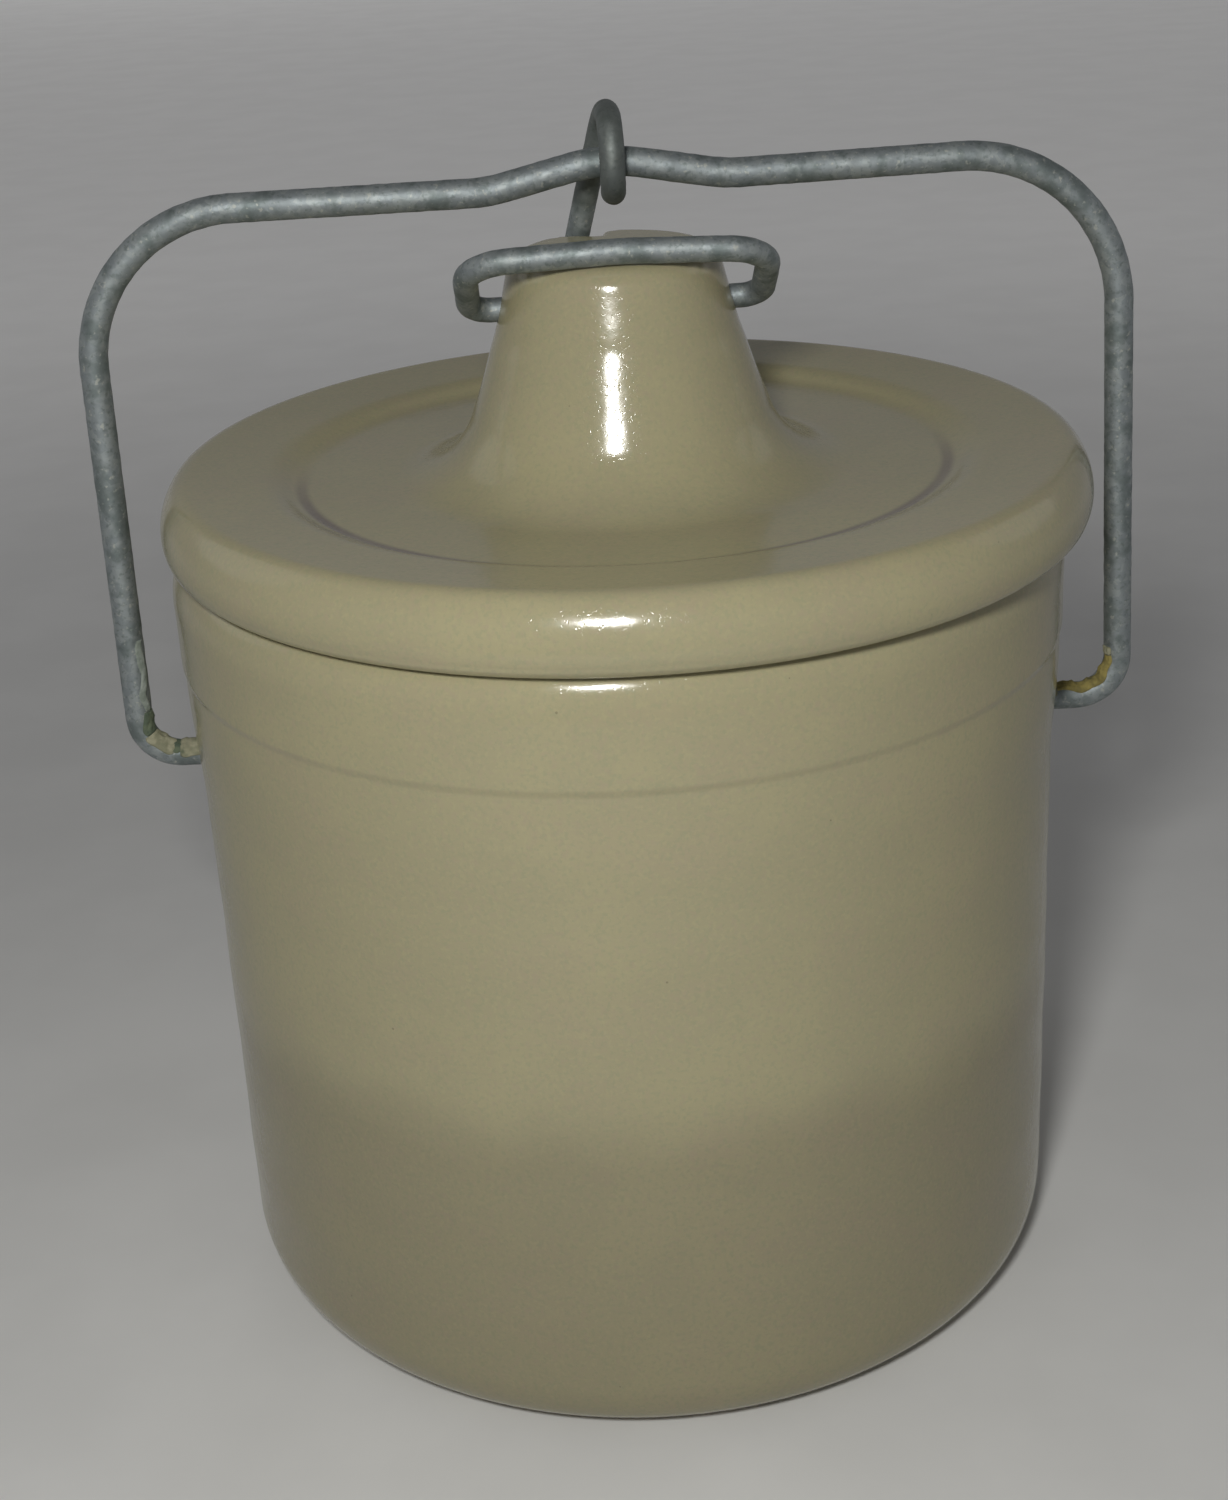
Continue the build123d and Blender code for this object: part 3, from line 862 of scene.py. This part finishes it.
def galvanised(name, shade_above=None):
    """Dull zinc: a smooth blue-grey skin, faintly spangled, with darker and chalky patches.

    Above the height in mm that the second argument gives, it is darker: painted shade on the eye and shank.
    """
    n = Nodes(name)
    zinc = (0.255, 0.285, 0.295)
    light = (0.350, 0.380, 0.375)
    dark = (0.135, 0.165, 0.160)
    chalk = (0.470, 0.480, 0.430)
    painted_shade_tone = (0.090, 0.100, 0.085)
    colour = n.mix(n.share(n.cells(0.9).outputs["Color"], 0.2, 0.9, 0.6), zinc, light)
    colour = n.mix(n.share(n.noise(2.6, 4), 0.46, 0.68, 0.70), colour, dark)
    colour = n.mix(n.share(n.noise(0.5, 3), 0.52, 0.72, 0.60), colour, dark)
    colour = n.mix(n.share(n.noise(0.6, 4), 0.60, 0.72, 0.60), colour, chalk)
    # Painted shade: the wire is darkened above this height.
    if shade_above:
        colour = n.mix(n.share(n.height(), shade_above, shade_above + 2, 0.60), colour, painted_shade_tone)
    n.join(colour, n.shader.inputs["Base Color"])
    n.join(n.between(n.noise(1.2, 4), 0.46, 0.74), n.shader.inputs["Roughness"])
    n.shader.inputs["Metallic"].default_value = 0.70
    lumps = n.bump(n.noise(0.8, 4), 0.045)
    n.join(n.bump(n.noise(0.22, 3), 0.014, under=lumps), n.shader.inputs["Normal"])
    return n.material


def deposit(name, pale, strong, stain, stain_share):
    """Dry chalky crust, from pale through a stronger tone, with darker stains."""
    n = Nodes(name)
    colour = n.mix(n.ramp(n.noise(1.3, 3), 0.38, 0.62), pale, strong)
    low = 0.75 - 0.3 * stain_share
    colour = n.mix(n.share(n.noise(1.8, 4), low, low + 0.12, 0.8), colour, stain)
    n.join(colour, n.shader.inputs["Base Color"])
    n.shader.inputs["Roughness"].default_value = 0.9
    n.join(n.bump(n.noise(0.35, 4), 0.10), n.shader.inputs["Normal"])
    return n.material


def rubber():
    """Matt red-brown rubber with a dusty bloom and moulding lines."""
    n = Nodes("seal_rubber")
    colour = n.mix(n.ramp(n.noise(2.5, 4), 0.40, 0.65), (0.28, 0.10, 0.06), (0.36, 0.17, 0.11))
    colour = n.mix(n.math("MULTIPLY", n.ramp(n.noise(0.4, 3), 0.55, 0.75), 0.5), colour, (0.42, 0.28, 0.22))
    n.join(colour, n.shader.inputs["Base Color"])
    n.shader.inputs["Roughness"].default_value = 0.75
    n.join(n.bump(n.noise(0.3, 3, (1, 1, 4)), 0.03), n.shader.inputs["Normal"])
    return n.material


def pale_floor():
    """Plain pale paper that glows more away from the object: painted light standing in for the studio's
    backdrop lights.
    """
    n = Nodes("pale_floor")
    colour = n.mix(n.ramp(n.noise(30, 4), 0.3, 0.7), (0.70, 0.70, 0.69), (0.74, 0.74, 0.73))
    n.join(colour, n.shader.inputs["Base Color"])
    n.shader.inputs["Roughness"].default_value = 0.9
    from_object = n.add("ShaderNodeVectorMath", operation="LENGTH")
    n.join(n.stretched((1, 1, 1)), from_object.inputs[0])
    # Painted light: the floor's glow rises with distance from the object.
    far_glow = n.share(from_object.outputs["Value"], 120, 700, BACKDROP_GLOW)
    n.shader.inputs["Emission Color"].default_value = (0.98, 0.97, 0.96, 1)
    n.join(far_glow, n.shader.inputs["Emission Strength"])
    return n.material


def dress(piece, material):
    piece.data.materials.clear()
    piece.data.materials.append(material)


# ---- Build ------------------------------------------------------------------

def build_object():
    pot = make_pot()
    dress(pot, glaze("pot_glaze", DRY_FOOT_HEIGHT, SECOND_COAT_BOTTOM))
    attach(pot, "crock")
    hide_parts("crock")

    lid = make_lid()
    dress(lid, glaze("lid_glaze", LID_UNDERSIDE - PLUG_DEPTH + 0.6, SECOND_COAT_BOTTOM, CREASE_SHADE_RADIUS))
    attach(lid, "lid")
    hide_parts("lid")

    dress(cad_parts["sealing_ring"], rubber())

    bail_line = bail_route()
    bail = wire("bail_wire", bail_line, BAIL_WIRE, 0.05)
    dress(bail, galvanised("bail_zinc"))
    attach(bail, "bail")
    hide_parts("bail")

    latch = wire("latch_wire", latch_route(), LATCH_WIRE, 0.04)
    shift(latch, LID_OFFSET)
    dress(latch, galvanised("latch_zinc", BAR_HEIGHT + LATCH_WIRE / 2))
    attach(latch, "latch")
    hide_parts("latch")

    build_crusts(bail_line)


def build_crusts(bail_line):
    """The crusts that food and water have left inside the bail's two lower bends."""
    cream = deposit("cream_crust", (0.30, 0.29, 0.20), (0.20, 0.20, 0.13), (0.09, 0.11, 0.07), 0.55)
    streak = deposit("pale_streak", (0.27, 0.30, 0.27), (0.19, 0.22, 0.19), (0.10, 0.13, 0.11), 0.60)
    mould = deposit("dark_crust", (0.070, 0.095, 0.065), (0.110, 0.135, 0.085), (0.18, 0.19, 0.12), 0.30)
    ochre = deposit("ochre_crust", (0.26, 0.215, 0.065), (0.16, 0.135, 0.045), (0.08, 0.075, 0.035), 0.45)
    left_inside = (-BAIL_LEFT_REACH + 7, -5, BAIL_PIVOT_HEIGHT + 8)
    right_inside = (BAIL_RIGHT_REACH - 7, -4, BAIL_PIVOT_HEIGHT + 8)
    length = sum((b - a).length for a, b in zip(bail_line, bail_line[1:]))
    # name, start and end along the wire, the side it faces, spread, thickness, seed, material
    crusts = [
        ("left_crust_inner", 4.9, 8.0, left_inside, 56, 0.42, 3, cream),
        ("left_crust_bend", 8.3, 13.0, left_inside, 52, 0.45, 6, cream),
        ("left_crust_dark", 12.6, 16.6, left_inside, 40, 0.28, 9, mould),
        ("left_crust_gap", 7.3, 9.2, left_inside, 40, 0.24, 12, mould),
        ("left_crust_leg", 16.2, 26.0, left_inside, 20, 0.12, 11, streak),
        ("right_crust", length - 17.6, length - 4.9, right_inside, 31, 0.62, 8, ochre),
        ("right_crust_bump", length - 18.6, length - 17.2, right_inside, 26, 0.75, 5, cream),
        ("right_crust_spot", length - 6.4, length - 4.9, right_inside, 44, 0.55, 14, cream),
    ]
    for name, start, end, target, spread, thickness, seed, material in crusts:
        piece = crust(name, bail_line, start, end, target, spread, thickness, seed)
        dress(piece, material)
        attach(piece, "bail")


def build_stage():
    bm = bmesh.new()
    bmesh.ops.create_circle(bm, cap_ends=True, segments=96, radius=2500)
    floor = finish_mesh("floor", bm)
    dress(floor, pale_floor())

    build_room()
    bpy.context.scene.view_settings.view_transform = "Standard"


def build_room():
    """A dim studio whose walls are lighter than its ceiling."""
    world = bpy.data.worlds.new("soft_room")
    world.use_nodes = True
    tree = world.node_tree
    direction = tree.nodes.new("ShaderNodeTexCoord")
    split = tree.nodes.new("ShaderNodeSeparateXYZ")
    fade = tree.nodes.new("ShaderNodeMapRange")
    fade.interpolation_type = "SMOOTHSTEP"
    fade.inputs["From Min"].default_value = 0.25
    fade.inputs["From Max"].default_value = 0.75
    fade.inputs["To Min"].default_value = WALL_STRENGTH
    fade.inputs["To Max"].default_value = CEILING_STRENGTH
    background = tree.nodes["Background"]
    background.inputs["Color"].default_value = (0.94, 0.94, 0.96, 1)
    tree.links.new(direction.outputs["Generated"], split.inputs["Vector"])
    tree.links.new(split.outputs["Z"], fade.inputs["Value"])
    tree.links.new(fade.outputs["Result"], background.inputs["Strength"])
    bpy.context.scene.world = world


def soft_light(name, place, target, size, power, tone=(1.0, 1.0, 1.0)):
    data = bpy.data.lights.new(name, "AREA")
    data.shape = "DISK"
    data.size = size
    data.energy = power
    data.color = tone
    lamp = bpy.data.objects.new(name, data)
    lamp.location = place
    lamp.rotation_mode = "QUATERNION"
    lamp.rotation_quaternion = (Vector(target) - Vector(place)).to_track_quat("-Z", "Y")
    bpy.context.scene.collection.objects.link(lamp)
    return lamp


def build_lights():
    """A key by the camera, two weak side fills and a back fill that shows in no reflection."""
    middle = Vector((0, 0, 70)) * MM
    soft_light("key", CAMERA_PLACE + KEY_OFFSET, middle, KEY_SIZE, KEY_POWER, (1.0, 0.99, 0.96))
    soft_light("left_fill", Vector((-600, 250, 420)) * MM, middle, 500 * MM, LEFT_FILL_POWER)
    soft_light("right_fill", Vector((620, 200, 380)) * MM, middle, 400 * MM, RIGHT_FILL_POWER)
    back_fill = soft_light("back_fill", Vector((0, 3500, 450)) * MM, middle, 1800 * MM, BACK_FILL_POWER)
    back_fill.visible_glossy = False


def build_camera():
    data = bpy.data.cameras.new("camera")
    data.lens = CAMERA_LENS
    data.sensor_width = 36
    data.clip_start = 0.01
    data.clip_end = 100
    camera = bpy.data.objects.new("camera", data)
    pan, pitch = radians(CAMERA_PAN), radians(CAMERA_PITCH)
    forward = Vector((sin(pan) * cos(pitch), cos(pan) * cos(pitch), -sin(pitch)))
    camera.rotation_mode = "QUATERNION"
    upright = forward.to_track_quat("-Z", "Y")
    camera.rotation_quaternion = upright @ Quaternion((0, 0, 1), radians(CAMERA_ROLL))
    camera.location = CAMERA_PLACE
    bpy.context.scene.collection.objects.link(camera)
    bpy.context.scene.camera = camera


build_camera()
build_stage()
build_lights()
build_object()
